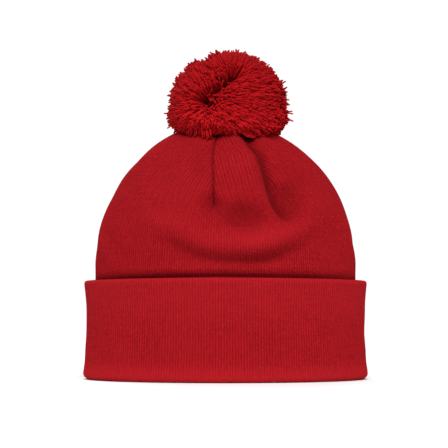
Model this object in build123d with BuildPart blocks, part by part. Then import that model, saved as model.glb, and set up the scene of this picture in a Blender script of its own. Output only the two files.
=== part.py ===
from build123d import *
import os

# Pom pom beanie, upright and open as on a head. Millimetres, +Z up. The origin is the centre of the oval
# that the hem stands on. Round pieces are turned about Z, then pressed to an oval plan by PLAN_RATIO.

# ---- the oval and the crown ----
PLAN_RATIO = 0.8  # depth over width
CROWN_RADIUS = 96.2  # half width of the outer crown's straight wall
CROWN_TOP = 190.0  # height of the outer crown
DOME_START = 82.0  # height where the wall turns into the dome
KNIT = 1.8  # thickness of one knit layer
LAYER_GAP = 1.4  # air between the outer crown and the lining
LINING_JOIN = 80.0  # height where the lining's dome meets its wall
CLOSING_HOLE = 4.0  # radius of the gathered hole in the top of each layer

# ---- the turned-up cuff ----
CUFF_HEIGHT = 74.0
CUFF_CLEARANCE = 0.7  # between the outer crown and the cuff's back
FOOT_CLEARANCE = 0.5  # between the turned edges of the lining and of the cuff
CUFF_FOOT_RADIUS = 105.0
CUFF_WAIST_RADIUS = 102.9
CUFF_LIP_RADIUS = 104.3
CUFF_WAIST_HEIGHT = 38.0
CUFF_FOOT_ROUND = 2.6
CUFF_LIP_ROUND = 1.2
LINING_FOOT_ROUND = 1.4

# ---- darts sewn into the two layers of the dome ----
DART_TURNS = (-96.0, -63.0, 84.0, 117.0)  # degrees from +X: a pair in the front and a pair in the back
LINING_DART_SHIFT = 16.5  # degrees that the lining's darts lie beside the outer ones
DART_WIDTH = 5.0
DART_THICKNESS = 0.9
DART_GAP = 0.1  # between a dart's allowance and its layer
DART_INNER_END = 24.0  # distance from the axis
DART_OUTER_END = 95.0
DART_LOWEST = 129.0  # height of a dart's lower end

# ---- threads ----
GATHER_RADII = (5.6, 7.6)  # the gathering thread runs twice round each closing hole
GATHER_THREAD = 0.7  # thread radius
GATHER_LIFT = 0.2  # of the upper gathering thread over the crown's top
GATHER_DROP = 0.8  # of the lower gathering thread under the lining's top
TIE_RADIUS = 1.2
KNOT_RADIUS = 3.4
KNOT_HEIGHT = 5.0
KNOT_DROP = 3.4  # of the knot's top under the lining's top
TIE_CLEARANCE = 0.3

# ---- pompom ----
POM_RADIUS = 45.5
POM_RISE = 44.5  # from its widest level to its top
POM_WIDEST_HEIGHT = 197.0
PIVOT_HEIGHT = 191.0  # where the tie leaves the crown: the pompom twists and leans about this point
POM_LIFT = 5.5  # from the pivot to the flat underside, which clears the dome in a 20 degree lean
SKIRT_GAP = 0.7
SKIRT_INNER_RADIUS = 11.0
SKIRT_OUTER_RADIUS = 42.0
SKIRT_BULGE_RADIUS = 45.3
SKIRT_TOP_GAP = 0.5
BINDING_HEIGHT = 212.0
BINDING_RADIUS = 7.0
BINDING_THREAD = 1.2
BINDING_CLEARANCE = 0.2
SHANK_LIFT = 3.2  # from the pivot to the shank's lower end

# ---- care label ----
LABEL_WIDTH = 22.0
LABEL_LENGTH = 32.0
LABEL_THICKNESS = 0.5
LABEL_TOP = 78.0
LABEL_CLEARANCE = 0.5
STITCH_COUNT = 5
STITCH_LENGTH = 2.6
STITCH_PITCH = 4.2
STITCH_RADIUS = 0.35
STITCH_LIFT = 0.8  # above the label's top edge

# ---- sizes that follow ----
DOME_RISE = CROWN_TOP - DOME_START
LINING_OFFSET = KNIT + LAYER_GAP  # from the outer crown's surface to the lining's
LINING_RADIUS = CROWN_RADIUS - LINING_OFFSET
LINING_INSIDE = LINING_RADIUS - KNIT
LINING_TOP = CROWN_TOP - LINING_OFFSET
TIE_TOP = PIVOT_HEIGHT + TIE_RADIUS
POM_UNDERSIDE = PIVOT_HEIGHT + POM_LIFT
SHANK_LOWEST = PIVOT_HEIGHT + SHANK_LIFT
OUTER_GATHER_HEIGHT = CROWN_TOP + GATHER_LIFT + GATHER_THREAD
LINING_GATHER_HEIGHT = LINING_TOP - KNIT - GATHER_DROP - GATHER_THREAD
KNOT_TOP = LINING_TOP - KNIT - KNOT_DROP
KNOT_CENTRE = KNOT_TOP - KNOT_HEIGHT / 2
CUFF_INNER_RADIUS = CROWN_RADIUS + CUFF_CLEARANCE
FOOT_RADIUS = CUFF_INNER_RADIUS - FOOT_CLEARANCE
PLAN_SCALE = (1, PLAN_RATIO, 1)
ORIGIN = Vector(0, 0, 0)

os.makedirs("parts", exist_ok=True)


def dome_section(depth, foot_height, thickness):
    """Half section of a layer that lies depth under the outer crown's surface, closed at the top."""
    outer_radius = CROWN_RADIUS - depth
    outer_rise = DOME_RISE - depth
    inner_radius = outer_radius - thickness
    inner_rise = outer_rise - thickness
    with BuildSketch(Plane.XZ) as section:
        with BuildLine():
            Line((outer_radius, foot_height), (outer_radius, DOME_START))
            EllipticalCenterArc((0, DOME_START), outer_radius, outer_rise, start_angle=0, arc_size=90)
            Line((0, DOME_START + outer_rise), (0, DOME_START + inner_rise))
            EllipticalCenterArc((0, DOME_START), inner_radius, inner_rise, start_angle=0, arc_size=90)
            Line((inner_radius, DOME_START), (inner_radius, foot_height))
            Line((inner_radius, foot_height), (outer_radius, foot_height))
        make_face()
    return section.sketch


def cuff_section(inset):
    """Half section of the cuff's outline, inset by a layer on all sides but the inner one."""
    foot = inset
    lip = CUFF_HEIGHT - inset
    with BuildSketch(Plane.XZ) as section:
        with BuildLine():
            Line((CUFF_INNER_RADIUS, foot), (CUFF_FOOT_RADIUS - inset, foot))
            ThreePointArc(
                (CUFF_FOOT_RADIUS - inset, foot),
                (CUFF_WAIST_RADIUS - inset, CUFF_WAIST_HEIGHT),
                (CUFF_LIP_RADIUS - inset, lip),
            )
            Line((CUFF_LIP_RADIUS - inset, lip), (CUFF_INNER_RADIUS, lip))
            Line((CUFF_INNER_RADIUS, lip), (CUFF_INNER_RADIUS, foot))
        make_face()
    return section.sketch


def gather_thread(height):
    """Two turns of gathering thread round a closing hole, lying at one height."""
    with BuildPart() as thread:
        with Locations((0, 0, height)):
            for radius in GATHER_RADII:
                Torus(radius, GATHER_THREAD)
    return thread.part


def dart_seam(depth, turn):
    """Allowance of one dart, a narrow strip that lies under its layer from the gather down the dome."""
    length = DART_OUTER_END - DART_INNER_END
    with BuildPart() as seam:
        revolve(dome_section(depth, DOME_START - KNIT, DART_THICKNESS), axis=Axis.Z)
        with BuildSketch(Plane.XY.offset(DART_LOWEST).rotated((0, 0, turn))):
            with Locations((DART_INNER_END + length / 2, 0)):
                Rectangle(length, DART_WIDTH)
        extrude(amount=CROWN_TOP - DART_LOWEST, mode=Mode.INTERSECT)
        scale(by=PLAN_SCALE, about=ORIGIN)
    return seam.part


# ================= hat: the two layers of the crown =================

with BuildPart() as outer_crown:
    revolve(dome_section(0, KNIT, KNIT), axis=Axis.Z)
    with Locations((0, 0, CROWN_TOP)):
        Cylinder(CLOSING_HOLE, 4 * KNIT, mode=Mode.SUBTRACT)
    scale(by=PLAN_SCALE, about=ORIGIN)
outer_crown.part.label = "outer_crown"

# the lining's lower edge turns outwards under the outer crown, where the real knit turns up into the cuff
with BuildPart() as lining_wall:
    with BuildSketch(Plane.XY):
        Ellipse(FOOT_RADIUS, PLAN_RATIO * FOOT_RADIUS)
    extrude(amount=KNIT)
    fillet(edges().group_by(Axis.Z)[0], LINING_FOOT_ROUND)
    with BuildSketch(Plane.XY.offset(KNIT)):
        Ellipse(LINING_RADIUS, PLAN_RATIO * LINING_RADIUS)
    extrude(amount=LINING_JOIN - KNIT)
    with BuildSketch(Plane.XY):
        Ellipse(LINING_INSIDE, PLAN_RATIO * LINING_INSIDE)
    extrude(amount=LINING_JOIN, mode=Mode.SUBTRACT)
lining_wall.part.label = "lining_wall"

with BuildPart() as lining_dome:
    revolve(dome_section(LINING_OFFSET, LINING_JOIN, KNIT), axis=Axis.Z)
    with Locations((0, 0, LINING_TOP)):
        Cylinder(CLOSING_HOLE, 4 * KNIT, mode=Mode.SUBTRACT)
    scale(by=PLAN_SCALE, about=ORIGIN)
lining_dome.part.label = "lining_dome"

# ================= cuff: a face that turns over at both edges, and its back =================

with BuildPart() as cuff_face:
    revolve(cuff_section(0), axis=Axis.Z)
    fillet(edges().group_by(Axis.Z)[0].sort_by(SortBy.RADIUS)[-1], CUFF_FOOT_ROUND)
    fillet(edges().group_by(Axis.Z)[-1].sort_by(SortBy.RADIUS)[-1], CUFF_LIP_ROUND)
    revolve(cuff_section(KNIT), axis=Axis.Z, mode=Mode.SUBTRACT)
    scale(by=PLAN_SCALE, about=ORIGIN)
cuff_face.part.label = "cuff_face"

with BuildPart() as cuff_back:
    with BuildSketch(Plane.XY.offset(KNIT)):
        Circle(CUFF_INNER_RADIUS + KNIT)
        Circle(CUFF_INNER_RADIUS, mode=Mode.SUBTRACT)
    extrude(amount=CUFF_HEIGHT - 2 * KNIT)
    scale(by=PLAN_SCALE, about=ORIGIN)
cuff_back.part.label = "cuff_back"

# ================= threads that close the crown =================

outer_gather_thread = gather_thread(OUTER_GATHER_HEIGHT)
outer_gather_thread.label = "outer_gather_thread"

lining_gather_thread = gather_thread(LINING_GATHER_HEIGHT)
lining_gather_thread.label = "lining_gather_thread"

with BuildPart() as anchor_knot:
    with Locations((0, 0, KNOT_CENTRE)):
        Sphere(KNOT_RADIUS)
    scale(by=(1, 1, KNOT_HEIGHT / 2 / KNOT_RADIUS), about=Vector(0, 0, KNOT_CENTRE))
anchor_knot.part.label = "anchor_knot"

# ================= pompom and its tie =================

with BuildPart() as tie_thread:
    with BuildSketch(Plane.XY.offset(KNOT_TOP + TIE_CLEARANCE)):
        Circle(TIE_RADIUS)
    extrude(amount=TIE_TOP - KNOT_TOP - TIE_CLEARANCE)
tie_thread.part.label = "tie_thread"

# lower yarn that lies on the dome and gives way when the pompom leans
with BuildPart() as pom_skirt_yarn:
    with BuildSketch(Plane.XZ):
        top = POM_UNDERSIDE - SKIRT_TOP_GAP
        with BuildLine():
            Line((SKIRT_INNER_RADIUS, DOME_START), (SKIRT_INNER_RADIUS, top))
            Line((SKIRT_INNER_RADIUS, top), (SKIRT_BULGE_RADIUS, top))
            TangentArc((SKIRT_BULGE_RADIUS, top), (SKIRT_OUTER_RADIUS, DART_LOWEST), tangent=(0, -1))
            Line((SKIRT_OUTER_RADIUS, DART_LOWEST), (SKIRT_INNER_RADIUS, DOME_START))
        make_face()
    revolve(axis=Axis.Z)
    revolve(dome_section(-SKIRT_GAP, 0, CROWN_RADIUS), axis=Axis.Z, mode=Mode.SUBTRACT)
pom_skirt_yarn.part.label = "pom_skirt_yarn"

with BuildPart() as pom_binding:
    with Locations(Location((0, 0, BINDING_HEIGHT), (90, 0, 0))):
        Torus(BINDING_RADIUS, BINDING_THREAD)
    with BuildSketch(Plane.XY.offset(SHANK_LOWEST)):
        Circle(TIE_RADIUS)
    extrude(amount=BINDING_HEIGHT - BINDING_RADIUS - SHANK_LOWEST)
pom_binding.part.label = "pom_binding"

with BuildPart() as pompom_yarn:
    with Locations((0, 0, POM_WIDEST_HEIGHT)):
        Sphere(POM_RADIUS)
    scale(by=(1, 1, POM_RISE / POM_RADIUS), about=Vector(0, 0, POM_WIDEST_HEIGHT))
    split(bisect_by=Plane.XY.offset(POM_UNDERSIDE), keep=Keep.TOP)
    # the bundle passes through its binding, and the shank runs down a channel
    with Locations(Location((0, 0, BINDING_HEIGHT), (90, 0, 0))):
        Torus(BINDING_RADIUS, BINDING_THREAD + BINDING_CLEARANCE, mode=Mode.SUBTRACT)
    with BuildSketch(Plane.XY.offset(POM_UNDERSIDE)):
        Circle(TIE_RADIUS + BINDING_CLEARANCE)
    extrude(amount=BINDING_HEIGHT - BINDING_RADIUS - POM_UNDERSIDE, mode=Mode.SUBTRACT)
pompom_yarn.part.label = "pompom_yarn"

# ================= care label inside the back =================

label_corner = (1 - (LABEL_WIDTH / 2 / LINING_INSIDE) ** 2) ** 0.5
label_back = PLAN_RATIO * LINING_INSIDE * label_corner - LABEL_CLEARANCE

with BuildPart(Plane((0, label_back, LABEL_TOP))) as care_label:
    Box(LABEL_WIDTH, LABEL_THICKNESS, LABEL_LENGTH, align=(Align.CENTER, Align.MAX, Align.MAX))
care_label.part.label = "care_label"

with BuildPart(Plane((0, label_back, LABEL_TOP + STITCH_LIFT))) as label_stitches:
    with GridLocations(STITCH_PITCH, 1, STITCH_COUNT, 1):
        Cylinder(STITCH_RADIUS, STITCH_LENGTH, rotation=(0, 90, 0))
label_stitches.part.label = "label_stitches"

# ================= write one file per node =================

for builder in (
    outer_crown,
    lining_wall,
    lining_dome,
    cuff_face,
    cuff_back,
    anchor_knot,
    tie_thread,
    pom_skirt_yarn,
    pom_binding,
    pompom_yarn,
    care_label,
    label_stitches,
):
    export_step(builder.part, "parts/" + builder.part.label + ".step")

export_step(outer_gather_thread, "parts/outer_gather_thread.step")
export_step(lining_gather_thread, "parts/lining_gather_thread.step")

for number, turn in enumerate(DART_TURNS, start=1):
    outer_dart = dart_seam(KNIT + DART_GAP, turn)
    outer_dart.label = f"outer_dart_seam_{number}"
    export_step(outer_dart, "parts/" + outer_dart.label + ".step")
    lining_dart = dart_seam(LINING_OFFSET - DART_THICKNESS - DART_GAP, turn + LINING_DART_SHIFT)
    lining_dart.label = f"lining_dart_seam_{number}"
    export_step(lining_dart, "parts/" + lining_dart.label + ".step")
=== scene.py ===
import math

import bpy
import numpy as np
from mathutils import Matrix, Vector


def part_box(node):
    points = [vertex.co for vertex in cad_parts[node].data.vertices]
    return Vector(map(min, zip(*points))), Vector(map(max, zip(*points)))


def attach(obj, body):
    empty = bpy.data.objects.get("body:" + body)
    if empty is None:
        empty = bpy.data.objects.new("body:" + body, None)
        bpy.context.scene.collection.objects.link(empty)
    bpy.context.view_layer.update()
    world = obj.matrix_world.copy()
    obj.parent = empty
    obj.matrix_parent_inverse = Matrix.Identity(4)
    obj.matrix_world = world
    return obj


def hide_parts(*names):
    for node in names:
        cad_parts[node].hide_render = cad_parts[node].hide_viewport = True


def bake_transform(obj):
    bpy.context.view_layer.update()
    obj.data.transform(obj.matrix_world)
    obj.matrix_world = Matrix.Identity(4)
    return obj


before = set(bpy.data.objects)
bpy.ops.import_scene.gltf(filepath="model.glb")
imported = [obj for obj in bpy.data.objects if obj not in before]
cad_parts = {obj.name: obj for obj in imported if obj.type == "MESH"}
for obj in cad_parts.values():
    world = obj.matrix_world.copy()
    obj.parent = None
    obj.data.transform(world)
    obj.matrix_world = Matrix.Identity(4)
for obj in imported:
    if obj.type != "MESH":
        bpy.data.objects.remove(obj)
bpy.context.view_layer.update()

# Looks of the pom pom beanie, in metres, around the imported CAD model. Round pieces are grids of rows along
# a profile and columns round an oval; a column keeps to one rib, so that the ribs are real geometry.

MM = 0.001

# ---- the oval, read from the frame ----
crown_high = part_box("outer_crown")[1]
cuff_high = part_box("cuff_face")[1]
back_low, back_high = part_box("cuff_back")
lining_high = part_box("lining_dome")[1]
foot_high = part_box("lining_wall")[1]
pom_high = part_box("pompom_yarn")[1]

PLAN_RATIO = crown_high.y / crown_high.x  # depth over width of the oval
CROWN_RADIUS = crown_high.x
DOME_START = 82 * MM  # height where the wall turns into the dome
DOME_RISE = 108 * MM
LINING_DEPTH = CROWN_RADIUS - lining_high.x
KNIT = 1.8 * MM  # thickness of one layer
CLOSING_HOLE = 4 * MM
CUFF_HEIGHT = cuff_high.z

# ---- the rib knit ----
RIBS = 282
COLUMNS_PER_RIB = 4
COLUMNS = RIBS * COLUMNS_PER_RIB
RIB_HEIGHT = 0.55 * MM
WIDE_RIB_HEIGHT = 0.65 * MM
WIDE_RIBS = 2 / 3  # wide ribs for each fine one, under the gathered top
COURSE = 1.05 * MM  # height of one stitch
THREAD_SIDES = 7

# ---- the darts, as angles from +X; each has its twin half a turn on, in the back ----
DART_START = 121 * MM
LEFT_DART_HEIGHTS = MM * np.array([129, 150, 170])
LEFT_DART_ANGLES = (-96.0, -97.0, -99.4)
RIGHT_DART_HEIGHTS = MM * np.array([119, 129, 140, 153, 166, 174])
RIGHT_DART_ANGLES = (-62.5, -66.0, -68.2, -69.0, -68.4, -72.5)

# ---- the folds of the slack front: depth, place across, width, height, tallness, all in millimetres ----
HOLLOWS_AND_SWELLS = (
    (-6.4, 13, 18, 121, 11),
    (-4.3, -13, 10, 132, 9),
    (-5.8, 47, 13, 134, 15),
    (3.2, 9, 10, 150, 12),
    (-1.8, -23, 9, 156, 9),
    (2.0, -29, 13, 112, 9),
    (1.5, 30, 16, 99, 8),
    (1.2, -50, 22, 122, 14),
)
BACK_FOLDS = 0.5  # how deep the folds of the back are, against those of the front

# ---- the pompom ----
POM_CENTRE = np.array([1.9 * MM, 0.0, 197 * MM])
POM_RADIUS = pom_high.x - 2.6 * MM
POM_RISE = 44.2 * MM
POM_FALL = 22 * MM
POM_PARTING = np.array([[-22.0, -38.5, 8.0], [6.0, -34.0, 30.0]])  # its two ends, as directions
YARN_ENDS = 11500
YARN_POINTS = 7
YARN_SIDES = 5
TUFTS = 520
SKIRT_TOP = 200 * MM  # yarn that reaches below this goes into pieces that are not attached to the pompom's body

# ---- the camera's place ----
CAMERA_DISTANCE = 3.0
CAMERA_HEIGHT = 114.7 * MM
CAMERA_SHIFT = -1.1 * MM
VIEW_WIDTH = 331.5 * MM
FLOOR_RADIUS = 0.7

# ---- the lamps: name, direction, strength, spread in degrees ----
SUNS = (
    ("key", (0.02, -0.95, 1.0), 3.0, 32),
    ("left_fill", (-1.0, -0.5, 0.35), 0.45, 60),
    ("right_fill", (1.0, -0.5, 0.35), 0.5, 60),
    ("back_key", (-0.25, 1.0, 0.8), 1.5, 50),
)


# ========== numbers ==========

def smoothstep(low, high, value):
    t = np.clip((value - low) / (high - low), 0, 1)
    return t * t * (3 - 2 * t)


def bump(value, centre, width):
    return np.exp(-((value - centre) / width) ** 2)


def unit(vectors):
    return vectors / np.maximum(np.linalg.norm(vectors, axis=-1, keepdims=True), 1e-12)


def oval_table():
    """Share of the way round the oval, by length, against the angle."""
    angle = np.linspace(0, 2 * np.pi, 7201)
    steps = np.hypot(np.diff(np.cos(angle)), np.diff(PLAN_RATIO * np.sin(angle)))
    length = np.concatenate([[0], np.cumsum(steps)])
    return length / length[-1], angle, length[-1]


OVAL_TURN, OVAL_ANGLE, OVAL_LENGTH = oval_table()


def turn_of(degrees):
    """Share of the way round, from -0.5 to 0.5, of an angle in degrees."""
    whole = np.interp(np.radians(np.abs(degrees)), OVAL_ANGLE, OVAL_TURN)
    return np.sign(degrees) * whole


def angle_of(turn):
    return np.interp(turn % 1.0, OVAL_TURN, OVAL_ANGLE)


def smooth_curve(points, count):
    """Catmull-Rom curve through the points, resampled to count points evenly along its length."""
    p = np.array(points, float)
    p = np.vstack([2 * p[0] - p[1], p, 2 * p[-1] - p[-2]])
    dense = []
    for i in range(1, len(p) - 2):
        t = np.linspace(0, 1, 40, endpoint=False)[:, None]
        a, b, c, d = p[i - 1], p[i], p[i + 1], p[i + 2]
        dense.append(0.5 * (2 * b + (c - a) * t + (2 * a - 5 * b + 4 * c - d) * t ** 2
                            + (3 * b - a - 3 * c + d) * t ** 3))
    dense = np.vstack(dense + [p[-2][None]])
    length = np.concatenate([[0], np.cumsum(np.linalg.norm(np.diff(dense, axis=0), axis=1))])
    even = np.linspace(0, length[-1], count)
    return np.stack([np.interp(even, length, dense[:, k]) for k in range(2)], axis=1)


# ========== meshes ==========

def make_mesh(name, points, polygons, uvs=None, attributes=None):
    """Mesh object from points and polygons, a list of index arrays of one width each, with uvs to match."""
    mesh = bpy.data.meshes.new(name)
    mesh.vertices.add(len(points))
    mesh.vertices.foreach_set("co", np.asarray(points, np.float32).ravel())
    polygons = [np.asarray(p, np.int32) for p in polygons if len(p)]
    corners = np.concatenate([p.ravel() for p in polygons])
    totals = np.concatenate([np.full(len(p), p.shape[1], np.int32) for p in polygons])
    starts = np.concatenate([[0], np.cumsum(totals)[:-1]]).astype(np.int32)
    mesh.loops.add(len(corners))
    mesh.loops.foreach_set("vertex_index", corners)
    mesh.polygons.add(len(totals))
    mesh.polygons.foreach_set("loop_start", starts)
    mesh.polygons.foreach_set("loop_total", totals)
    mesh.polygons.foreach_set("use_smooth", np.ones(len(totals), bool))
    if uvs is not None:
        layer = mesh.uv_layers.new(name="knit")
        every = np.concatenate([u.reshape(-1, 2) for u in uvs])
        layer.data.foreach_set("uv", every.astype(np.float32).ravel())
    for key, values in (attributes or {}).items():
        layer = mesh.attributes.new(key, "FLOAT", "POINT")
        layer.data.foreach_set("value", np.asarray(values, np.float32))
    mesh.update(calc_edges=True)
    mesh.validate()
    piece = bpy.data.objects.new(name, mesh)
    bpy.context.scene.collection.objects.link(piece)
    return piece


def finish_piece(piece, body, material, slot, *nodes):
    """The material, body and CAD nodes of a new piece, whose nodes are hidden; slot is not used."""
    piece.data.materials.append(material)
    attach(piece, body)
    if nodes:
        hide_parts(*nodes)


def grid_quads(rows, columns, first=0):
    """Quads of a grid that closes round its columns."""
    r, c = np.meshgrid(np.arange(rows - 1), np.arange(columns), indexing="ij")
    n = (c + 1) % columns
    here, above = r * columns, (r + 1) * columns
    return first + np.stack([here + c, here + n, above + n, above + c], axis=-1).reshape(-1, 4)


def weld(points, polygons, uvs):
    """Joins points that coincide, drops polygons left without area, and turns quads with one lost side to
    triangles."""
    _, first, place = np.unique(np.round(points, 7), axis=0, return_index=True, return_inverse=True)
    place = place.ravel()
    joined = []
    for polygon, uv in zip(polygons, uvs):
        index = place[polygon]
        lost = index == np.roll(index, -1, axis=1)
        count = lost.sum(axis=1)
        joined.append((index[count == 0], uv[count == 0]))
        for corner in range(4 if polygon.shape[1] == 4 else 0):
            here, keep = (count == 1) & lost[:, corner], np.arange(4) != corner
            joined.append((index[here][:, keep], uv[here][:, keep]))
    used = np.zeros(len(first), bool)
    for index, _ in joined:
        used[index.ravel()] = True
    fresh = np.cumsum(used) - 1
    kept = [(fresh[index], uv) for index, uv in joined if len(index)]
    return first[used], [index for index, _ in kept], [uv for _, uv in kept]


def even_turns(rows):
    """Turn of every column where the ribs run straight up."""
    return np.broadcast_to(np.arange(COLUMNS) / COLUMNS, (rows, COLUMNS))


def oval_points(radii, heights, turns):
    """Points at each profile point, a row, and each turn, a column or a whole grid of turns."""
    angle = angle_of(turns)
    x = radii[:, None] * np.cos(angle)
    y = PLAN_RATIO * radii[:, None] * np.sin(angle)
    return np.stack([x, y, np.broadcast_to(heights[:, None], x.shape)], axis=-1)


def oval_normals(radii, heights, turns):
    """Unit normals to match oval_points, outward for a profile that runs upwards."""
    dr, dz = np.gradient(radii), np.gradient(heights)
    angle = angle_of(turns)
    x = dz[:, None] * np.cos(angle)
    y = dz[:, None] * np.sin(angle) / PLAN_RATIO
    return unit(np.stack([x, y, np.broadcast_to(-dr[:, None], x.shape)], axis=-1))


def rib_profile(ribs=1.0):
    """Round ribs with narrow grooves, 0 in a groove and 1 on a crest, for every column. ribs is how many
    there are for each rib of the fine knit."""
    across = np.abs(np.sin(np.pi * ribs * np.arange(COLUMNS) / COLUMNS_PER_RIB))
    return across[None, :] ** 0.75


def wall_quads(length, columns, first=0):
    """Quads of one side of a shell, and their uvs: ribs across and stitches along."""
    rows = len(length)
    r, c = np.divmod(np.arange((rows - 1) * columns), columns)
    step = RIBS / columns
    u, v = c * step, length / COURSE
    across = np.stack([u, u + step, u + step, u], axis=1)
    up = np.stack([v[r], v[r], v[r + 1], v[r + 1]], axis=1)
    return grid_quads(rows, columns, first), np.stack([across, up], axis=-1)


def rim_polygons(rows, length):
    """Polygons that close a shell's two ends, one for each rib, and their uvs."""
    polygons, uvs = [], []
    plain_start = rows * COLUMNS
    for row in (0, rows - 1):
        for rib in range(RIBS):
            start = rib * COLUMNS_PER_RIB
            fine = [row * COLUMNS + (start + k) % COLUMNS for k in range(COLUMNS_PER_RIB + 1)]
            plain = [plain_start + row * RIBS + (rib + 1) % RIBS, plain_start + row * RIBS + rib]
            polygons.append((fine + plain)[::-1] if row == 0 else fine + plain)
            uvs.append([[rib + 0.5, length[row] / COURSE]] * len(fine + plain))
    return np.array(polygons), np.array(uvs, float)


def knit_shell(name, profile, turns, relief=0.0, fine_inside=False, rib_scale=1.0, shades=None):
    """Closed shell of one knit layer. Its ribbed side follows the profile, an array of radius and height,
    and its plain side lies behind. turns places the columns, and relief is added along the normals."""
    radii, heights = profile[:, 0], profile[:, 1]
    rows = len(profile)
    points = oval_points(radii, heights, turns)
    normals = oval_normals(radii, heights, turns)
    relief = np.broadcast_to(relief, (rows, COLUMNS))
    ribs = (rib_profile() - 1) * RIB_HEIGHT * rib_scale
    facing = -1.0 if fine_inside else 1.0
    plain = slice(None, None, COLUMNS_PER_RIB)
    front = points + normals * (relief + facing * ribs)[..., None]
    back = (points + normals * (relief - facing * (KNIT + RIB_HEIGHT * 0.4))[..., None])[:, plain]
    length = np.concatenate([[0], np.cumsum(np.hypot(np.diff(radii), np.diff(heights)))])
    front_quads, front_uv = wall_quads(length, COLUMNS)
    back_quads, back_uv = wall_quads(length, RIBS, rows * COLUMNS)
    rims, rim_uvs = rim_polygons(rows, length)
    polygons = [front_quads, back_quads[:, ::-1], rims]
    uvs = [front_uv, back_uv[:, ::-1], rim_uvs]
    if fine_inside:
        polygons = [p[:, ::-1] for p in polygons]
        uvs = [w[:, ::-1] for w in uvs]
    every = np.concatenate([front.reshape(-1, 3), back.reshape(-1, 3)])
    kept, polygons, uvs = weld(every, polygons, uvs)
    attributes = {}
    for key, values in (shades or {}).items():
        values = np.broadcast_to(values, (rows, COLUMNS))
        attributes[key] = np.concatenate([values.ravel(), values[:, plain].ravel()])[kept]
    return make_mesh(name, every[kept], polygons, uvs, attributes)


def tubes(lines, radii, sides, seed_vector):
    """Closed tubes along many lines of equal point count: points, polygons, uvs, and each point's tube."""
    count, steps, _ = lines.shape
    along = unit(np.gradient(lines, axis=1))
    across = unit(np.cross(along, seed_vector[:, None, :]))
    other = np.cross(along, across)
    turn = np.arange(sides) * 2 * np.pi / sides
    ring = across[:, :, None] * np.cos(turn)[:, None] + other[:, :, None] * np.sin(turn)[:, None]
    points = lines[:, :, None] + ring * radii[:, :, None, None]
    start = np.arange(count)[:, None] * steps * sides
    quads = (start[:, None] + grid_quads(steps, sides)).reshape(-1, 4)
    gaps = np.linalg.norm(np.diff(lines, axis=1), axis=2)
    length = np.concatenate([np.zeros((count, 1)), np.cumsum(gaps, axis=1)], axis=1) / MM
    k = np.arange(sides)
    u = np.stack([k, k + 1, k + 1, k], axis=-1) / sides
    v = np.stack([length[:, :-1], length[:, :-1], length[:, 1:], length[:, 1:]], axis=-1)[:, :, None]
    quad_uv = np.stack(np.broadcast_arrays(u, v), axis=-1).reshape(-1, 4, 2)
    caps = np.concatenate([start + k[::-1], start + (steps - 1) * sides + k])
    cap_v = np.repeat(np.concatenate([length[:, 0], length[:, -1]]), sides).reshape(caps.shape)
    cap_uv = np.stack([np.full(caps.shape, 0.5), cap_v], axis=-1)
    owner = np.repeat(np.arange(count), steps * sides)
    return points.reshape(-1, 3), [quads, caps], [quad_uv, cap_uv], owner


# ========== materials ==========

def new_material(name):
    material = bpy.data.materials.new(name)
    material.use_nodes = True
    tree = material.node_tree
    return material, tree, tree.nodes["Principled BSDF"]


def feed(tree, socket, value):
    """Gives a socket a number, a vector or a colour, or what another node puts out."""
    if isinstance(value, (int, float)):
        socket.default_value = value
    elif isinstance(value, tuple):
        socket.default_value = (*value, 1)[:len(socket.default_value)]
    else:
        tree.links.new(value, socket)


def feed_all(tree, node, named):
    for name, value in named.items():
        feed(tree, node.inputs[name], value)


def add_node(tree, kind, *values, **named):
    """A shader node with what its inputs get, in their order or by name."""
    made = tree.nodes.new("ShaderNode" + kind)
    for socket, value in zip(made.inputs, values):
        feed(tree, socket, value)
    feed_all(tree, made, named)
    return made


def surface_uv(tree):
    """The uv of a piece, and its two parts: across and along."""
    uv = add_node(tree, "UVMap")
    uv.uv_map = "knit"
    split = add_node(tree, "SeparateXYZ", uv.outputs[0])
    return uv.outputs[0], split.outputs[0], split.outputs[1]


def object_place(tree):
    return add_node(tree, "TexCoord").outputs["Object"]


def own_value(tree, name):
    """A value that the mesh keeps at its points."""
    made = add_node(tree, "Attribute")
    made.attribute_name = name
    return made.outputs["Fac"]


def math_node(tree, operation, *values, clamp=False):
    made = add_node(tree, "Math", *values)
    made.operation = operation
    made.use_clamp = clamp
    return made.outputs[0]


def mix_colour(tree, *factor_and_colours):
    made = add_node(tree, "Mix")
    made.data_type = "RGBA"
    for place, value in zip((0, 6, 7), factor_and_colours):
        feed(tree, made.inputs[place], value)
    return made.outputs[2]


def product(tree, *values):
    """Values multiplied together and kept between 0 and 1."""
    total = values[0]
    for value in values[1:]:
        total = math_node(tree, "MULTIPLY", total, value, clamp=True)
    return total


def half_waves(tree, value):
    """Rounded bumps, one for each whole number."""
    return math_node(tree, "ABSOLUTE", math_node(tree, "SINE", math_node(tree, "MULTIPLY", value, math.pi)))


def noise(tree, vector, scale, detail=2.0, roughness=0.5):
    made = add_node(tree, "TexNoise", Vector=vector, Scale=scale, Detail=detail, Roughness=roughness)
    return made.outputs[0]


def stretched(tree, vector, scale):
    return add_node(tree, "Mapping", Vector=vector, Scale=scale).outputs[0]


def ranged(tree, value, low, high, to_low, to_high):
    made = add_node(tree, "MapRange", value, low, high, to_low, to_high)
    made.interpolation_type = "SMOOTHSTEP"
    return made.outputs[0]


def finish_cloth(tree, shader, colour, roughness, sheen, specular, bumps, tint=(0.9, 0.12, 0.12)):
    """Colour and gloss of a cloth, and its bump nodes one after another, each of (height, strength,
    distance)."""
    feed_all(tree, shader, {
        "Base Color": colour, "Roughness": roughness, "Specular IOR Level": specular,
        "Sheen Weight": sheen, "Sheen Roughness": 0.5, "Sheen Tint": tint})
    normal = {}
    for height, strength, distance in bumps:
        made = add_node(tree, "Bump", Strength=strength, Distance=distance, Height=height, **normal)
        normal = {"Normal": made.outputs[0]}
    feed(tree, shader.inputs["Normal"], normal["Normal"])


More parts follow.
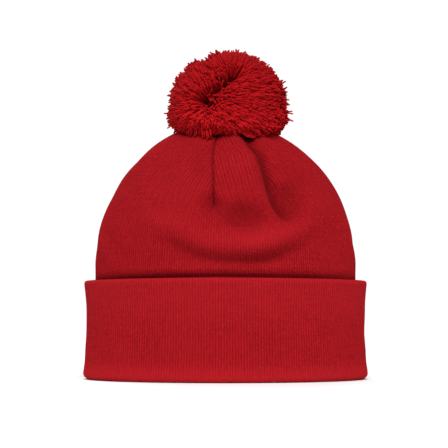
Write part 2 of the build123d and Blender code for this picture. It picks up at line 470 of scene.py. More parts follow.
def stitch_height(tree, across, along):
    """Height of the V stitches, and how near each place is to its rib's crest."""
    off_middle = math_node(tree, "SUBTRACT", math_node(tree, "FRACT", across), 0.5)
    from_middle = math_node(tree, "ABSOLUTE", off_middle)
    crest = ranged(tree, from_middle, 0.15, 0.5, 1.0, 0.0)
    leg = math_node(tree, "ADD", along, math_node(tree, "MULTIPLY", from_middle, -1.7))
    return math_node(tree, "MULTIPLY", half_waves(tree, leg), crest), crest


def knit_material(name, crest, groove):
    """Fine rib knit: V stitches on each rib, grooves painted darker as shade, and yarn that varies from rib
    to rib and from course to course. Its creases get painted shade, and its folds and the cuff get painted
    highlight, with some real wear at the cuff's rolled edges."""
    material, tree, shader = new_material(name)
    uv, across, along = surface_uv(tree)
    height, raised = stitch_height(tree, across, along)
    raised = math_node(tree, "ADD", raised, own_value(tree, "wide"), clamp=True)
    streaks = noise(tree, stretched(tree, uv, (1.0, 0.11, 1)), 1.0, 2.0, 0.7)
    courses = noise(tree, stretched(tree, uv, (0.055, 0.50, 1)), 1.0, 3.0, 0.7)
    loops = noise(tree, uv, 0.8, 2.0, 0.7)
    patches = noise(tree, object_place(tree), 26.0, 3.0, 0.55)
    fibres = noise(tree, stretched(tree, object_place(tree), (1, 1, 0.35)), 2300.0, 2.0, 0.7)
    # Painted shade: the colour goes from the groove colour in the grooves between ribs to the crest colour
    # on the crests; the noises add yarn tone that differs at random.
    shade = product(
        tree, ranged(tree, raised, 0.0, 1.0, 0.18, 1.0), ranged(tree, streaks, 0.3, 0.7, 0.62, 1.08),
        ranged(tree, courses, 0.32, 0.62, 0.74, 1.06), ranged(tree, loops, 0.35, 0.65, 0.80, 1.06))
    specks = math_node(tree, "MULTIPLY", ranged(tree, fibres, 0.45, 0.7, 0.3, 1.0),
                       ranged(tree, loops, 0.46, 0.72, 0.05, 0.8))
    colour = mix_colour(tree, shade, groove, crest)
    for amount, other in (
            (ranged(tree, patches, 0.35, 0.7, 0.35, 0.0), tuple(c * 0.84 for c in crest)),
            (specks, (crest[0] * 1.2, crest[1] * 2.3, crest[2] * 2.2)),
            # Painted highlight on the crown's folds and the cuff, with some real wear at the cuff's rolled
            # edges.
            (own_value(tree, "wear_and_painted_highlight"), (crest[0] * 1.22, crest[1] * 1.75, crest[2] * 1.7)),
            # Painted shade from the crease attribute: darker in creases, under folds and in the gap over the
            # cuff.
            (own_value(tree, "crease"), tuple(c * 0.35 for c in groove))):
        colour = mix_colour(tree, amount, colour, other)
    bumps = ((height, 0.45, 0.30 * MM), (streaks, 0.25, 0.30 * MM), (fibres, 0.35, 0.12 * MM))
    finish_cloth(tree, shader, colour, 0.95, 0.03, 0.04, bumps)
    return material


def yarn_material(name, dark, bright, twist):
    """Twisted yarn: helical plies with painted shade in the grooves between them, paler stray fibres, and a
    shade value for each strand: random tone, with painted light in the pompom and painted shade in its core.
    """
    material, tree, shader = new_material(name)
    _, around, along = surface_uv(tree)
    ply = half_waves(tree, math_node(tree, "ADD", math_node(tree, "MULTIPLY", around, 2.0),
                                     math_node(tree, "MULTIPLY", along, twist)))
    fibres = noise(tree, object_place(tree), 1900.0, 2.0, 0.7)
    patches = noise(tree, object_place(tree), 45.0, 2.0, 0.5)
    amount = product(tree, own_value(tree, "shade"), ranged(tree, ply, 0.0, 0.8, 0.6, 1.0),
                     ranged(tree, patches, 0.3, 0.7, 0.85, 1.1))
    colour = mix_colour(tree, amount, dark, bright)
    lighter = (bright[0] * 1.25, bright[1] * 1.6, bright[2] * 1.6)
    colour = mix_colour(tree, ranged(tree, fibres, 0.55, 0.8, 0.0, 0.4), colour, lighter)
    bumps = ((ply, 0.6, 0.3 * MM), (fibres, 0.4, 0.1 * MM))
    finish_cloth(tree, shader, colour, 0.9, 0.04, 0.06, bumps)
    return material


def tape_material(name):
    """Woven satin tape of a blank care label."""
    material, tree, shader = new_material(name)
    place = object_place(tree)
    warp = noise(tree, stretched(tree, place, (1, 1, 0.05)), 5200.0, 1.0, 0.5)
    weft = noise(tree, stretched(tree, place, (0.05, 0.05, 1)), 4200.0, 1.0, 0.5)
    weave = math_node(tree, "ADD", warp, weft)
    light = ranged(tree, weave, 0.8, 1.2, 0.0, 1.0)
    colour = mix_colour(tree, light, (0.72, 0.71, 0.68), (0.88, 0.87, 0.84))
    bumps = ((weave, 0.5, 0.08 * MM),)
    finish_cloth(tree, shader, colour, 0.5, 0.1, 0.4, bumps, tint=(1, 1, 1))
    return material


def floor_material():
    """Matt and pale, fading out towards the floor's rim."""
    material, tree, shader = new_material("pale_floor")
    place = object_place(tree)
    grain = ranged(tree, noise(tree, place, 3.0), 0.3, 0.7, 0.0, 1.0)
    colour = mix_colour(tree, grain, (0.93, 0.93, 0.93), (0.95, 0.95, 0.95))
    reach = add_node(tree, "VectorMath", place)
    reach.operation = "LENGTH"
    fade = ranged(tree, reach.outputs["Value"], 0.3 * FLOOR_RADIUS, 0.95 * FLOOR_RADIUS, 1.0, 0.0)
    feed_all(tree, shader, {
        "Base Color": colour, "Alpha": fade, "Roughness": 0.9, "Specular IOR Level": 0.1})
    return material


RIB_KNIT = knit_material("red_rib_knit", (0.366, 0.0072, 0.0116), (0.165, 0.0020, 0.0036))
LINING_KNIT = knit_material("red_lining_knit", (0.345, 0.0077, 0.0124), (0.155, 0.0019, 0.0034))
POM_YARN = yarn_material("red_pompom_yarn", (0.285, 0.0023, 0.0038), (0.66, 0.0108, 0.0160), 0.45)
THREAD = yarn_material("red_thread", (0.2, 0.003, 0.005), (0.42, 0.011, 0.017), 0.8)
TAPE = tape_material("white_label_tape")


# ========== crown ==========

def dome_profile(depth, wall_rows, dome_rows):
    """Radius and height up the wall and over the dome, depth under the outer crown's surface."""
    radius, rise = CROWN_RADIUS - depth, DOME_RISE - depth
    wall = np.stack([np.full(len(wall_rows), radius), wall_rows], axis=1)
    top = math.acos(CLOSING_HOLE / radius)
    lean = top * np.linspace(0, 1, dome_rows) ** 1.35
    dome = np.stack([radius * np.cos(lean), DOME_START + rise * np.sin(lean)], axis=1)
    return np.vstack([wall, dome])


def dart_turns(heights):
    """Turns of the left and the right front dart at each height."""
    left = turn_of(np.interp(heights, LEFT_DART_HEIGHTS, LEFT_DART_ANGLES))
    right = turn_of(np.interp(heights, RIGHT_DART_HEIGHTS, RIGHT_DART_ANGLES))
    return left, right


def dome_share(heights):
    """Width of the dome at each height, as a share of the wall's."""
    return np.sqrt(np.clip(1 - (np.clip(heights - DOME_START, 0, None) / DOME_RISE) ** 2, 0, 1))


def rib_turns(heights):
    """Turn of every column at every height. Above the darts' lower ends the side panels' ribs run up to the
    darts and end there, and those of the middle panels keep to the right dart and end at the left one."""
    own = np.arange(COLUMNS) / COLUMNS
    left_low, right_low = dart_turns(np.zeros(1))
    left, right = (t[:, None] for t in dart_turns(heights))
    shrink = dome_share(heights) / dome_share(np.array([DART_START]))
    shrink = np.minimum(shrink, 1.0)[:, None]
    side_pull = np.maximum(shrink ** 0.62, 0.3)
    middle_pull = np.maximum(shrink ** 0.85, 0.3)
    half = np.floor((own - right_low) / 0.5)
    within = (own - right_low) - half * 0.5
    side_width = left_low + 0.5 - right_low
    middle = right_low + side_width / 2
    side = middle + (within - side_width / 2)[None, :] / side_pull
    side = np.clip(side, right, left + 0.5)
    centre = right + (within - 0.5)[None, :] / middle_pull
    centre = np.clip(centre, left, right) + 0.5
    turns = np.where((within <= side_width)[None, :], side, centre)
    return turns + (half * 0.5)[None, :]


def seam_distance(turns, heights, which):
    """Signed distance to the nearer twin of one front dart, along the oval, in millimetres."""
    dart = dart_turns(heights)[which][:, None]
    apart = (turns - dart + 0.25) % 0.5 - 0.25
    return apart * OVAL_LENGTH * CROWN_RADIUS / MM * dome_share(heights)[:, None]


def soft_waves(turns, heights, size, seed, count=14):
    """Gentle unevenness of cloth that nothing stretches, the same after a whole turn."""
    rng = np.random.default_rng(seed)
    total = np.zeros(np.broadcast(turns, heights[:, None]).shape)
    for _ in range(count):
        round_waves = rng.integers(4, 19)
        up_waves = rng.uniform(6, 42)
        phase = rng.uniform(0, 2 * np.pi)
        total += np.sin(2 * np.pi * (round_waves * turns + up_waves * heights[:, None]) + phase)
    return size * total / math.sqrt(count)


def smile_fold(x):
    """Height of the long fold over the cuff at each place across, and how much of it is there. This and the
    other folds are worked out in millimetres."""
    across = (x - 12) / 60
    ridge = 96.5 + np.where(across < 0, 17, 23) * across ** 2
    half = np.where(across < 0, 0.84, 0.76)
    return ridge, np.exp(-np.abs(across / half) ** 2.6)


def front_folds(x, z, edge):
    """Folds of the slack front over the cuff's edge, as depth at each place across and up."""
    ridge, reach = smile_fold(x)
    folds = reach * (5.7 * bump(z, ridge, 10) - 1.9 * bump(z, ridge - 10, 4.5))
    for depth, place, width, height, tall in HOLLOWS_AND_SWELLS:
        folds += depth * bump(x, place, width) * bump(z, height, tall)
    wide = np.exp(-(np.abs(x) / 88) ** 4)
    low_swell = 1.3 * wide * bump(z, edge + 6, 3.2)
    tuck = -2.1 * wide * (1 - smoothstep(-1.5, 3, z - edge))
    return folds + low_swell + tuck


def seam_folds(turns, heights, z):
    """Puckers along the two front darts and their twins."""
    left = seam_distance(turns, heights, 0)
    right = seam_distance(turns, heights, 1)
    groove = -1.9 * smoothstep(126, 133, z) * np.exp(-np.abs(left / 1.8))
    pit = -2.4 * bump(left, 0.8, 4.5) * bump(z, 131, 6)
    crease = -4.6 * bump(right, 4.0, 5.0) + 3.0 * bump(right, -6.5, 5.0)
    return groove + pit + smoothstep(114, 126, z) * crease


def cuff_arch(turns):
    """How far the cuff's upper edge arches up, at the front and a little at the back."""
    side = np.sin(angle_of(turns))
    return 3.6 * np.clip(-side, 0, 1) ** 1.3 + 2.2 * np.clip(side, 0, 1) ** 1.5 - 1.0


def cuff_edge(turns):
    return CUFF_HEIGHT / MM + cuff_arch(turns)


def front_share(turns):
    """1 in front and 0 from the sides on."""
    return smoothstep(0.0, 0.5, -np.sin(angle_of(turns)))


def crown_relief(radii, heights, turns):
    """Folds, dart seams and unevenness of the crown along its normals, in metres."""
    x, _, z = np.moveaxis(oval_points(radii, heights, turns) / MM, -1, 0)
    front, back = front_share(turns), front_share(turns + 0.5)
    edge = cuff_edge(turns)
    folds = front * front_folds(x, z, edge) + BACK_FOLDS * back * front_folds(-x, z, edge)
    waves = soft_waves(turns, heights, 0.50, 7) * smoothstep(76, 92, z)
    return MM * (folds * smoothstep(44, 68, z) + seam_folds(turns, heights, z) + waves)


def crown_place(turns, heights):
    """Where the crown's points are, across and up, in millimetres."""
    x = oval_points(CROWN_RADIUS * dome_share(heights), heights, turns)[..., 0]
    return x / MM, heights[:, None] / MM


def crown_painted_shade(relief, turns, heights):
    """Painted shade: how much the crown's colour is darkened, from 0 to 1, along the dart seams, in deep
    hollows, in the gap over the cuff, under the long fold and between the wide ribs.
    """
    left = np.abs(seam_distance(turns, heights, 0))
    right = seam_distance(turns, heights, 1)
    x, z = crown_place(turns, heights)
    seams = 0.5 * np.exp(-left / 0.8) * smoothstep(126, 134, z)
    seams += 0.30 * bump(right, 2.8, 3.4) * smoothstep(115, 126, z)
    deep = 0.28 * smoothstep(0.5 * MM, 5.0 * MM, -relief)
    lean = 0.55 + 0.45 * smoothstep(50, -40, x * front_share(turns))
    tuck = 0.55 * lean * bump(z, cuff_edge(turns) + 0.2, 1.9)
    ridge, reach = smile_fold(x)
    under = 0.27 * reach * bump(z, ridge - 6.5, 5.5) * front_share(turns)
    gathered = 0.34 * (1 - rib_profile(WIDE_RIBS)) * wideness(heights)
    return np.clip(seams + deep + tuck + under + gathered, 0, 0.85)


def crown_ribs(turns, heights):
    """How high the ribs stand: they close up into seams."""
    width = 1.3 * smoothstep(DART_START, DART_START + 10 * MM, heights)[:, None] + 0.001
    left, right = (1 - bump(seam_distance(turns, heights, which), 0, width) for which in (0, 1))
    return left * right


def crown_painted_highlight(turns, heights):
    """Painted highlight: how much paler the crown's colour is made, from 0 to 1, on the upper face of the
    long fold and on the swells of the front.
    """
    x, z = crown_place(turns, heights)
    ridge, reach = smile_fold(x)
    wear_and_painted_highlight = 0.44 * reach * bump(z, ridge + 6.5, 6.5) * (0.45 + 0.55 * bump(x, 34, 24))
    wear_and_painted_highlight += 0.15 * bump(x, -50, 22) * bump(z, 117, 9)
    wear_and_painted_highlight += 0.26 * bump(x, 8, 10) * bump(z, 159, 9)
    wear_and_painted_highlight += 0.16 * bump(x, -36, 15) * bump(z, 145, 14)
    return wear_and_painted_highlight * front_share(turns)


def wideness(heights):
    """How far the fine ribs have drawn together in pairs and threes under the gathered top, from 0 to 1."""
    return smoothstep(124 * MM, 150 * MM, heights)[:, None]


def build_crown():
    wall_rows = MM * np.array([2.0, 24, 48, 66, 72, 74, 76, 78, 80])
    profile = dome_profile(0, wall_rows, 60)
    heights = profile[:, 1]
    turns = rib_turns(heights)
    relief = crown_relief(profile[:, 0], heights, turns)
    scale, wide = crown_ribs(turns, heights), wideness(heights)
    wide_ribs = (rib_profile(WIDE_RIBS) - 1) * WIDE_RIB_HEIGHT * wide * scale
    # Painted shade and painted highlight for the knit's colour, kept at the points.
    crease, wear_and_painted_highlight = crown_painted_shade(relief, turns, heights), crown_painted_highlight(turns, heights)
    shades = {"crease": crease, "wear_and_painted_highlight": wear_and_painted_highlight, "wide": wide}
    piece = knit_shell("outer_crown_knit", profile, turns, relief + wide_ribs,
                       rib_scale=scale * (1 - 0.85 * wide), shades=shades)
    finish_piece(piece, "hat", RIB_KNIT, "red_rib_knit", "outer_crown")


def build_lining():
    """Inner layer: down inside the dome and the wall, then out under the outer crown at the hem."""
    inside = LINING_DEPTH + KNIT
    wall, tip = CROWN_RADIUS - inside, foot_high.x
    foot = [(tip - 0.2 * MM, 1.7 * MM), (tip - 0.7 * MM, 0.7 * MM), (wall + 2.6 * MM, 0.5 * MM),
            (wall + 0.7 * MM, 0.9 * MM), (wall, 3 * MM)]
    upper = dome_profile(inside, MM * np.array([4.0, 22, 44, 64]), 26)
    profile = np.vstack([smooth_curve(foot, 9), upper])
    heights = profile[:, 1]
    turns = even_turns(len(heights))
    relief = crown_relief(profile[:, 0], heights, turns)
    shrink = np.clip(dome_share(heights) ** 0.5, 0.2, 1)[:, None]
    piece = knit_shell("lining_knit", profile, turns, relief, fine_inside=True, rib_scale=shrink)
    finish_piece(piece, "hat", LINING_KNIT, "red_rib_knit", "lining_wall", "lining_dome")


# ========== cuff ==========

def cuff_outline():
    """Radius and height round the cuff's face: up from the turned hem, over its foot, waist and lip."""
    foot, waist, lip, top = 105.3, 102.9, 104.5, CUFF_HEIGHT / MM
    inner = 0.4 - back_low.x / MM
    return MM * np.array([
        (inner + 0.4, 3.2), (inner + 1.2, 1.2), (inner + 3.5, 0.5), (foot - 2.2, 0.8),
        (foot - 0.3, 2.7), (foot - 0.1, 6), (waist + 1.0, 16), (waist, 36), (waist + 0.3, 55),
        (lip - 0.4, 67), (lip, top - 2.2), (lip - 0.7, top - 0.7), (lip - 2.6, top - 0.2),
        (inner + 2.0, top - 1.6), (inner + 0.5, top - 4.0), (inner + 0.2, top - 8),
    ])


def build_cuff():
    """Outer layer of the turned-up cuff, rolled over at the hem and at the upper edge."""
    profile = smooth_curve(cuff_outline(), 58)
    heights = profile[:, 1]
    turns = even_turns(len(heights))
    z = heights / MM
    slack = smoothstep(8, 26, z) * (1 - smoothstep(60, 72, z))
    relief = soft_waves(turns, heights, 0.30 * MM, 21) * slack[:, None]
    # Paler colour: at the rolled hem and the upper edge partly wear and partly painted highlight, and over
    # the upper half painted light.
    wear_and_painted_highlight = 0.42 * bump(z, 1.5, 3.6) + 0.30 * bump(z, 7, 5) + 0.20 * bump(z, CUFF_HEIGHT / MM - 1, 2.2)
    wear_and_painted_highlight += 0.26 * smoothstep(30, 66, z)
    smoother = 1 - 0.5 * bump(z, 1.0, 3.0)
    piece = knit_shell("cuff_face_knit", profile, turns, relief, rib_scale=smoother[:, None],
                       shades={"wear_and_painted_highlight": wear_and_painted_highlight[:, None]})
    lift_cuff(piece)
    finish_piece(piece, "cuff", RIB_KNIT, "red_rib_knit", "cuff_face")


def lift_cuff(piece):
    """Raises a cuff layer's points with the arch of its upper edge."""
    count = len(piece.data.vertices)
    points = np.empty(count * 3, np.float32)
    piece.data.vertices.foreach_get("co", points)
    points = points.reshape(-1, 3).astype(float)
    angle = np.arctan2(points[:, 1] / PLAN_RATIO, points[:, 0]) % (2 * np.pi)
    turns = np.interp(angle, OVAL_ANGLE, OVAL_TURN)
    points[:, 2] += MM * cuff_arch(turns) * smoothstep(15 * MM, 70 * MM, points[:, 2])
    piece.data.vertices.foreach_set("co", points.astype(np.float32).ravel())
    piece.data.update()


def build_cuff_back():
    """Layer of the cuff that lies against the crown, ribbed on the side that faces it."""
    radius = back_high.x - KNIT
    outline = [(radius, 3 * MM), (radius, 25 * MM), (radius, 50 * MM), (radius, CUFF_HEIGHT - 5 * MM)]
    profile = smooth_curve(outline, 16)
    turns = even_turns(len(profile))
    piece = knit_shell("cuff_back_knit", profile, turns, fine_inside=True)
    lift_cuff(piece)
    finish_piece(piece, "cuff", LINING_KNIT, "red_rib_knit", "cuff_back")


# ========== hidden seams and threads ==========

def build_dart_seams():
    """Sewn allowances of the darts, between the two layers: under each layer, in front and behind."""
    layers = (("outer", KNIT + 0.35 * MM, 0.0), ("lining", LINING_DEPTH - 1.1 * MM, 0.046))
    for number, (which, half) in enumerate([(0, 0), (1, 0), (0, 1), (1, 1)], start=1):
        for layer, depth, shift in layers:
            name = f"{layer}_dart_allowance_{number}"
            piece = build_dart_seam(name, which, 0.5 * half + shift, depth)
            finish_piece(piece, "hat", LINING_KNIT, "red_rib_knit", f"{layer}_dart_seam_{number}")


def build_dart_seam(name, which, shift, depth):
    """One dart's allowance: a strip of gathered knit with a ridge of stitches, under its layer."""
    heights = DOME_START + DOME_RISE * np.sin(np.linspace(0.46, 1.32, 40))
    girth = OVAL_LENGTH * CROWN_RADIUS * dome_share(heights)
    across = np.linspace(-2.2 * MM, 2.2 * MM, 9)
    turns = (dart_turns(heights)[which] + shift)[:, None] + across[None, :] / girth[:, None]
    lean = np.arcsin((heights - DOME_START) / DOME_RISE)
    radii = (CROWN_RADIUS - depth) * np.cos(lean)
    tops = DOME_START + (DOME_RISE - depth) * np.sin(lean)
    points = oval_points(radii, tops, turns)
    normals = oval_normals(radii, tops, turns)
    relief = crown_relief(CROWN_RADIUS * np.cos(lean), heights, turns)
    stitches = 0.6 + 0.4 * np.sin(np.arange(40) * 1.9)[:, None]
    ridge = 0.25 * MM * bump(across, 0, 0.8 * MM)[None, :] * stitches
    upper = points + normals * (relief + ridge)[..., None]
    lower = points + normals * (relief - 0.75 * MM)[..., None]
    ring = np.concatenate([upper, lower[:, ::-1]], axis=1)
    rows, round_it = ring.shape[:2]
    quads = grid_quads(rows, round_it)
    last = (rows - 1) * round_it
    caps = np.array([np.arange(round_it)[::-1], last + np.arange(round_it)])
    u = np.tile(np.concatenate([across, across[::-1]]) / MM / 2, (rows, 1)).ravel()
    v = np.repeat(np.arange(rows) * 2.4, round_it)
    uvs = [np.stack([u[faces], v[faces]], axis=-1) for faces in (quads, caps)]
    return make_mesh(name, ring.reshape(-1, 3), [quads, caps], uvs)


def plied_yarn(name, line, radius, plies, turns, body, node):
    """Thread of several twisted plies along one line of points, in place of a CAD node."""
    steps = len(line)
    along = unit(np.gradient(line, axis=0))
    guide = np.array([0.31, 0.87, 0.38])
    across = unit(np.cross(along, guide))
    other = np.cross(along, across)
    share = np.linspace(0, 1, steps)
    lines = []
    for ply in range(plies):
        angle = 2 * np.pi * (turns * share + ply / plies)
        swing = across * np.cos(angle)[:, None] + other * np.sin(angle)[:, None]
        lines.append(line + 0.5 * radius * swing)
    lines = np.array(lines)
    radii = np.full(lines.shape[:2], 0.56 * radius)
    points, polygons, uvs, _ = tubes(lines, radii, THREAD_SIDES, np.tile(guide, (plies, 1)))
    piece = make_mesh(name, points, polygons, uvs, {"shade": np.full(len(points), 0.75)})
    finish_piece(piece, body, THREAD, "red_thread", node)


def circle_line(radius, height, count, waves, swing):
    angle = np.linspace(0, 2 * np.pi, count)
    rise = height + swing * np.sin(waves * angle)
    return np.stack([radius * np.cos(angle), radius * np.sin(angle), rise], axis=1)


def build_threads():
    for name in ("outer_gather_thread", "lining_gather_thread"):
        low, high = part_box(name)
        height = (low.z + high.z) / 2
        line = np.vstack([circle_line(5.6 * MM, height, 90, 14, 0.15 * MM),
                          circle_line(7.6 * MM, height, 110, 18, 0.15 * MM)])
        plied_yarn(name + "_wound", line, 0.62 * MM, 2, 34, "hat", name)
    low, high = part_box("anchor_knot")
    t = np.linspace(0, 2 * np.pi, 160)
    trefoil = np.stack([np.sin(t) + 1.7 * np.sin(2 * t), np.cos(t) - 1.7 * np.cos(2 * t),
                        -0.9 * np.sin(3 * t)], axis=1)
    knot = trefoil * 0.84 * MM + np.array([0, 0, (low.z + high.z) / 2])
    plied_yarn("anchor_knot_tied", knot, 1.05 * MM, 3, 14, "hat", "anchor_knot")
    low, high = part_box("tie_thread")
    line = np.stack([np.zeros(40), np.zeros(40), np.linspace(low.z, high.z, 40)], axis=1)
    plied_yarn("tie_thread_plied", line, 1.1 * MM, 3, 3, "pom_tie", "tie_thread")


def build_binding():
    """Cord wound three times round the middle of the yarn bundle, with its shank down to the tie."""
    low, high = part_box("pom_binding")
    centre = high.z - (high.x - low.x) / 2
    radius = high.x - 1.3 * MM
    angle = np.linspace(0, 6 * np.pi, 260)
    drift = np.linspace(-0.75, 0.75, 260) * MM
    winding = np.stack([radius * np.sin(angle), drift, centre - radius * np.cos(angle)], axis=1)
    shank = np.stack([np.zeros(24), np.full(24, drift[-1]) * np.linspace(0, 1, 24),
                      np.linspace(low.z, centre - radius, 24)], axis=1)
    line = np.vstack([shank[:-1], winding[::-1]])
    plied_yarn("pom_binding_wound", line, 0.85 * MM, 3, 40, "pompom", "pom_binding")


def build_label():
    """Blank care label hung inside the back, with a soft curl."""
    low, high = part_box("care_label")
    width, length = high.x - low.x, high.z - low.z
    a, d = np.meshgrid(np.linspace(-0.5, 0.5, 33), np.linspace(0, 1, 49), indexing="xy")
    curl = 0.22 * MM * np.sin(np.pi * a) ** 2 * d + 0.5 * MM * smoothstep(0.55, 1.0, d) * d
    face = np.stack([a * width, low.y + 0.28 * MM - curl, high.z - d * length], axis=-1).reshape(-1, 3)
    back = face + np.array([0, 0.18 * MM, 0])
    place = np.arange(a.size).reshape(a.shape)
    quads = np.stack([place[:-1, :-1], place[1:, :-1], place[1:, 1:], place[:-1, 1:]], axis=-1)
    quads = quads.reshape(-1, 4)
    edge = np.concatenate([place[0], place[1:, -1], place[-1, -2::-1], place[-2:0:-1, 0]])
    after = np.roll(edge, -1)
    sides = np.stack([edge + a.size, after + a.size, after, edge], axis=1)
    polygons = [quads, quads[:, ::-1] + a.size, sides]
    piece = make_mesh("care_label_tape", np.vstack([face, back]), polygons)
    finish_piece(piece, "label", TAPE, "white_label_tape", "care_label")


def build_label_stitches():
    """Stitches over the label's upper edge."""
    low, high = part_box("label_stitches")
    height, depth = (low.z + high.z) / 2, (low.y + high.y) / 2
    x = np.linspace(-1.3 * MM, 1.3 * MM, 12)
    sag = 0.25 * MM * (x / (1.3 * MM)) ** 2
    lines = np.array([np.stack([x + middle, depth + sag, np.full(12, height)], axis=1)
                      for middle in np.linspace(-8.4 * MM, 8.4 * MM, 5)])
    radii = np.full(lines.shape[:2], 0.33 * MM)
    points, polygons, uvs, _ = tubes(lines, radii, THREAD_SIDES, np.tile([0.0, 0.3, 1.0], (5, 1)))
    piece = make_mesh("label_stitches_sewn", points, polygons, uvs, {"shade": np.full(len(points), 0.8)})
    finish_piece(piece, "hat", THREAD, "red_thread", "label_stitches")


# ========== pompom ==========

def pom_surface(directions):
    """Place of the pompom's surface in each direction from its centre: full above, flattened below."""
    flat = np.hypot(directions[:, 0], directions[:, 1])
    up = directions[:, 2] >= 0
    power = np.where(up, 2.15, 2.6)
    rise = np.where(up, POM_RISE, POM_FALL)
    reach = ((flat / POM_RADIUS) ** power + (np.abs(directions[:, 2]) / rise) ** power) ** (-1 / power)
    dent = 0.055 * bump(directions[:, 0], -0.40, 0.10) * smoothstep(0.45, 0.8, directions[:, 2])
    return directions * (reach * (1 - dent))[:, None]


def even_directions(count, rng):
    """Directions spread evenly over the flattened ball, with some jitter."""
    k = np.arange(count) + 0.5
    z = 1 - 2 * k / count
    angle = k * math.pi * (3 - math.sqrt(5))
    ball = np.stack([np.sqrt(1 - z * z) * np.cos(angle), np.sqrt(1 - z * z) * np.sin(angle), z], axis=1)
    ball = unit(ball + rng.normal(0, 0.9 / math.sqrt(count), ball.shape))
    squeeze = np.where(ball[:, 2] >= 0, POM_RISE, POM_FALL) / POM_RADIUS
    return unit(ball * np.stack([np.ones(count), np.ones(count), squeeze], axis=1))


def nearest_parting(directions):
    """For each direction, the nearest place on the parting of the yarn in the front or in the back, the
    angle to it in degrees, and how much further away the other parting is."""
    places, angles = [], []
    for sign in (1, -1):
        first, last = unit(POM_PARTING * np.array([sign, sign, 1]))
        along = last - first
        share = np.clip(((directions - first) @ along) / (along @ along), 0, 1)
        below = smoothstep(0.0, 0.35, directions @ unit(np.cross(first, last)) * -1)
        share = share * (1 - 0.8 * below)
        here = unit(first + share[:, None] * along)
        places.append(here)
        angles.append(np.degrees(np.arccos(np.clip(np.sum(here * directions, axis=1), -1, 1))))
    front_is_nearer = angles[0] < angles[1]
    parting = np.where(front_is_nearer[:, None], places[0], places[1])
    return parting, np.minimum(*angles), np.abs(angles[0] - angles[1])


def crown_height(x, y):
    """Height of the outer crown's surface under a place."""
    flat = np.hypot(x / CROWN_RADIUS, y / (CROWN_RADIUS * PLAN_RATIO))
    return DOME_START + DOME_RISE * np.sqrt(np.clip(1 - flat ** 2, 0, 1))


def strand_lines(count, steps, rng):
    """Centre lines of the pompom's yarn ends, from inside the bundle to their tips. Round the parting they
    lie over to its sides, and further away they stand up straight."""
    directions = even_directions(count, rng)
    tufts = even_directions(TUFTS, rng)
    nearest = np.argmax(directions @ tufts.T, axis=1)
    pull = rng.uniform(0.0, 0.45, count)[:, None]
    directions = unit(directions * (1 - pull) + tufts[nearest] * pull)
    parting, away, lead = nearest_parting(directions)
    unruly = (rng.random(TUFTS) < 0.3)[nearest] & (away < 17)
    beside = np.exp(-(away / 22) ** 2)[:, None]
    spread = unit(directions - parting + 1e-4)
    directions = unit(directions + spread * 0.14 * beside)
    tips = pom_surface(directions)
    combed = (1 - smoothstep(42, 98, away)) * smoothstep(-6, 44, lead) * np.where(unruly, 0.25, 1.0)
    combed = combed[:, None]
    lean = (0.04 + 0.52 * combed) * rng.uniform(0.8, 1.2, (count, 1))
    tuft_length = rng.normal(0, 0.016, TUFTS)[nearest]
    length = (1 + tuft_length + rng.normal(0, 0.016, count))[:, None]
    stray = (rng.random(count) < 0.012)[:, None]
    length = np.where(stray, length + rng.uniform(0.03, 0.10, (count, 1)), length)
    middle = pom_surface(unit(directions * (1 - lean) + parting * lean)) * (0.90 + 0.04 * combed)
    root = pom_surface(unit(directions * (1 - 0.62 * combed) + parting * 0.62 * combed)) * 0.45
    tips = tips * length + rng.normal(0, 0.6 * MM, tips.shape)
    hanging = smoothstep(-0.05, -0.35, directions[:, 2]) * smoothstep(0.35, 0.8, np.abs(directions[:, 1]))
    tips[:, 2] -= hanging * rng.uniform(-1 * MM, 7 * MM, TUFTS)[nearest]
    middle = middle + rng.normal(0, 1.2 * MM, middle.shape)
    root = root + rng.normal(0, 2.0 * MM, root.shape)
    t = np.linspace(0.3, 1.0, steps)[None, :, None]
    lines = (1 - t) ** 2 * root[:, None] + 2 * t * (1 - t) * middle[:, None] + t ** 2 * tips[:, None]
    lines = lines + rng.normal(0, 0.14 * MM, lines.shape) + POM_CENTRE
    ground = crown_height(lines[..., 0], lines[..., 1]) + 0.9 * MM
    lines[..., 2] = np.maximum(lines[..., 2], ground)
    flat = np.hypot(lines[:, -1, 0], lines[:, -1, 1])
    return lines[(lines[:, -1, 2] > 192 * MM) | (flat > 22 * MM)]


def build_pompom():
    """The yarn ends as four pieces that move with the pompom and three below that are left out of its body.
    """
    rng = np.random.default_rng(11)
    lines = strand_lines(YARN_ENDS, YARN_POINTS, rng)
    count = len(lines)
    width = rng.uniform(0.54, 0.76, count)[:, None] * MM
    along = np.linspace(0, 1, lines.shape[1])[None, :]
    radii = width * (0.9 + 0.1 * np.sin(np.pi * along))
    rise = lines[:, -1, 2] - POM_CENTRE[2]
    # Painted light: ends that reach low are made lighter and ends on top darker; the random part is each
    # strand's own tone.
    light = 0.32 * smoothstep(12 * MM, -8 * MM, rise) - 0.17 * smoothstep(16 * MM, 40 * MM, rise)
    shade = np.clip(rng.normal(0.39, 0.09, count) + light, 0.14, 1.0)
    guides = unit(rng.normal(0, 1, (count, 3)))
    low = lines[..., 2].min(axis=1) < SKIRT_TOP
    order = np.argsort(np.arctan2(lines[:, -1, 1], lines[:, -1, 0]), kind="stable")
    for number, members in enumerate(np.array_split(order[~low[order]], 4), start=1):
        piece = yarn_piece(f"pompom_yarn_{number}", lines, radii, guides, shade, members)
        finish_piece(piece, "pompom", POM_YARN, "red_pompom_yarn", "pompom_yarn")
    for number, members in enumerate(np.array_split(order[low[order]], 3), start=1):
        piece = yarn_piece(f"pompom_skirt_yarn_{number}", lines, radii, guides, shade, members)
        piece.data.materials.append(POM_YARN)
        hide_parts("pom_skirt_yarn")
        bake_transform(piece)


def yarn_piece(name, lines, radii, guides, shade, members):
    points, polygons, uvs, owner = tubes(lines[members], radii[members], YARN_SIDES, guides[members])
    return make_mesh(name, points, polygons, uvs, {"shade": shade[members][owner]})


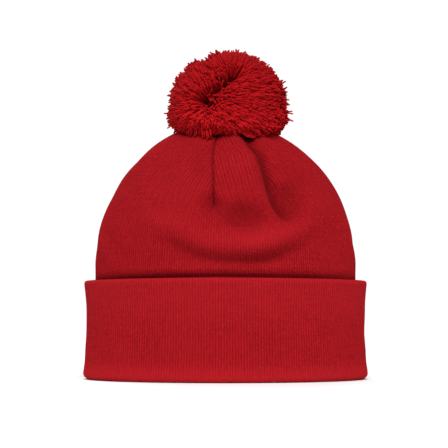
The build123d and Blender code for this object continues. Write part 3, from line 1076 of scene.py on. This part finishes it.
def build_core():
    """Dense middle of the yarn bundle, seen only as dark depth between the yarn ends."""
    rows, columns = 40, 80
    up = np.linspace(-0.5, 0.5, rows) * math.pi
    turn = np.arange(columns) * 2 * math.pi / columns
    u, t = np.meshgrid(up, turn, indexing="ij")
    directions = np.stack([np.cos(u) * np.cos(t), np.cos(u) * np.sin(t), np.sin(u)], axis=-1).reshape(-1, 3)
    lumps = 1 + 0.035 * np.sin(9 * t + 4 * u) * np.cos(u) + 0.02 * np.sin(17 * t - 11 * u) * np.cos(u)
    points = pom_surface(directions) * 0.66 * lumps.reshape(-1, 1)
    points[:, 2] = np.maximum(points[:, 2], 0.3 * np.hypot(points[:, 0], points[:, 1]) - 3 * MM)
    quads = grid_quads(rows, columns)
    uv = np.stack([(t.ravel() * 6)[quads], (u.ravel() * 20)[quads]], axis=-1)
    # Painted shade: the core gets a darker value than the yarn ends, for the shade deep in the bundle.
    shade = np.full(len(points), 0.2)
    piece = make_mesh("pompom_core", points + POM_CENTRE, [quads], [uv], {"shade": shade})
    finish_piece(piece, "pompom", POM_YARN, "red_pompom_yarn")


# ========== stage, light and camera ==========

def build_stage():
    """Pale round floor that fades out at its rim."""
    bpy.ops.mesh.primitive_circle_add(vertices=96, radius=FLOOR_RADIUS, fill_type="NGON")
    floor = bpy.context.object
    floor.name = "floor"
    floor.data.materials.append(floor_material())


def add_sun(name, direction, strength, spread):
    light = bpy.data.lights.new(name, "SUN")
    light.energy = strength
    light.angle = math.radians(spread)
    lamp = bpy.data.objects.new(name, light)
    bpy.context.scene.collection.objects.link(lamp)
    lamp.rotation_euler = (-Vector(direction)).to_track_quat("-Z", "Y").to_euler()


def build_light():
    """Soft studio light: pale surroundings, and the broad lamps of SUNS."""
    world = bpy.data.worlds.new("studio")
    bpy.context.scene.world = world
    world.use_nodes = True
    tree = world.node_tree
    tree.nodes.clear()
    seen = add_node(tree, "Background", (1, 1, 1), 1.05)
    lit = add_node(tree, "Background", (1, 0.99, 0.98), 0.25)
    path = add_node(tree, "LightPath")
    mix = add_node(tree, "MixShader", path.outputs["Is Camera Ray"], lit.outputs[0], seen.outputs[0])
    add_node(tree, "OutputWorld", mix.outputs[0])
    for sun in SUNS:
        add_sun(*sun)
    scene = bpy.context.scene
    scene.view_settings.view_transform = "Standard"
    scene.view_settings.look = "None"


def build_camera():
    data = bpy.data.cameras.new("camera")
    camera = bpy.data.objects.new("camera", data)
    bpy.context.scene.collection.objects.link(camera)
    data.sensor_width = 36
    data.lens = 36 * CAMERA_DISTANCE / VIEW_WIDTH
    camera.location = (CAMERA_SHIFT, -CAMERA_DISTANCE, CAMERA_HEIGHT)
    camera.rotation_euler = (math.pi / 2, 0, 0)
    bpy.context.scene.camera = camera


build_camera()
build_light()
build_stage()
build_crown()
build_lining()
build_cuff()
build_cuff_back()
build_dart_seams()
build_threads()
build_binding()
build_label()
build_label_stitches()
build_pompom()
build_core()
